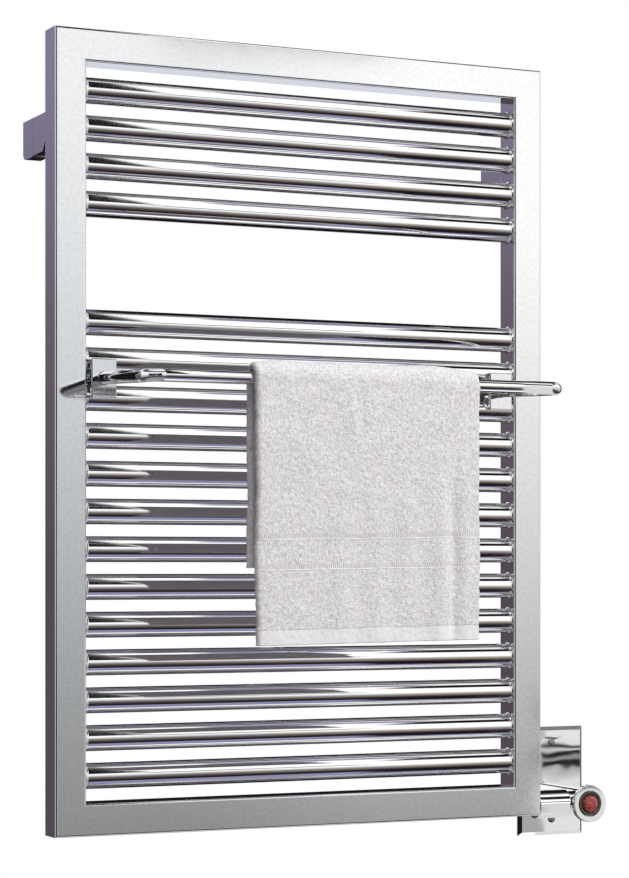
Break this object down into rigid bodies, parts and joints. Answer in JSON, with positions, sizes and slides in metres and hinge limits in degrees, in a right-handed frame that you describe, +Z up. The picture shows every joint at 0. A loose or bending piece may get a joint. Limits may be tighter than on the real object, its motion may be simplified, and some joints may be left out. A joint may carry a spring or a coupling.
{
  "type": "towel warmer rack",
  "caption": "Wall-mounted electric towel warmer: square chrome frame with round heated tubes, a stand-off towel bar with a folded towel, and a hard-wired switch unit.",
  "frame": {"origin": "on the wall plane, midway between the two upper wall brackets", "axes": "+X to the right seen from the room, +Y into the wall, +Z up"},
  "size_m": [0.6435, 0.2407, 0.812],
  "materials": {
    "frame_chrome": "satin to bright chrome on square steel tube",
    "tube_chrome": "bright polished chrome",
    "zinc_steel": "zinc-plated or plain steel",
    "brass": "machined brass",
    "dark_bezel": "dark olive-brown glossy moulding",
    "red_lens": "translucent red lens",
    "lamp": "clear tinted lamp",
    "white_plastic": "moulded cut-out case",
    "silicone_lead": "silicone-insulated lead",
    "foam_gasket": "closed-cell foam",
    "terry": "white terry cotton"
  },
  "bodies": {
    "root": {"upright_left": "frame_chrome", "upright_right": "frame_chrome", "rail_top": "frame_chrome", "rail_bottom": "frame_chrome", "tube_01": "tube_chrome", "tube_02": "tube_chrome", "tube_03": "tube_chrome", "tube_04": "tube_chrome", "tube_05": "tube_chrome", "tube_06": "tube_chrome", "tube_07": "tube_chrome", "tube_08": "tube_chrome", "tube_09": "tube_chrome", "tube_10": "tube_chrome", "tube_11": "tube_chrome", "tube_12": "tube_chrome", "tube_13": "tube_chrome", "tube_14": "tube_chrome", "tube_15": "tube_chrome", "tube_16": "tube_chrome", "tube_17": "tube_chrome", "towel_bar": "tube_chrome", "bar_clamp_left_front": "tube_chrome", "bar_clamp_left_back": "tube_chrome", "bar_clamp_left_screw": "zinc_steel", "bar_clamp_right_front": "tube_chrome", "bar_clamp_right_back": "tube_chrome", "bar_clamp_right_screw": "zinc_steel", "bracket_left_wall_base": "tube_chrome", "bracket_left_post": "tube_chrome", "bracket_left_wall_screw": "zinc_steel", "bracket_left_grub_screw": "zinc_steel", "bracket_right_wall_base": "tube_chrome", "bracket_right_post": "tube_chrome", "bracket_right_wall_screw": "zinc_steel", "bracket_right_grub_screw": "zinc_steel", "lower_bracket_base": "tube_chrome", "lower_bracket_clamp": "tube_chrome", "lower_bracket_screw": "zinc_steel", "lower_bracket_wall_screw": "zinc_steel", "filler_plug": "brass", "heating_element": "zinc_steel", "element_fitting": "brass", "thermal_cutout": "white_plastic", "element_lead": "silicone_lead", "connecting_tube": "tube_chrome", "cover_sleeve": "tube_chrome", "tee_body": "tube_chrome", "tee_set_screw": "zinc_steel", "wall_plate": "tube_chrome", "plate_gasket": "foam_gasket", "plate_screw_upper": "tube_chrome", "plate_screw_lower": "tube_chrome", "end_ring": "tube_chrome", "bezel": "dark_bezel", "switch_housing": "dark_bezel", "indicator_lamp": "lamp", "button_spring": "zinc_steel"},
    "towel": {"towel": "terry"},
    "power_button": {"button_lens": "red_lens"}
  },
  "joints": [
    {"name": "towel_lift", "type": "slide", "parent": "root", "child": "towel", "axis": [0, 0, 1], "range_m": [0, 0.3]},
    {"name": "power_button_press", "type": "slide", "parent": "root", "child": "power_button", "axis": [0, 1, 0], "range_m": [0, 0.002], "stiffness_N_per_m": 400, "springref_m": -0.002, "deforming": ["button_spring"]}
  ]
}
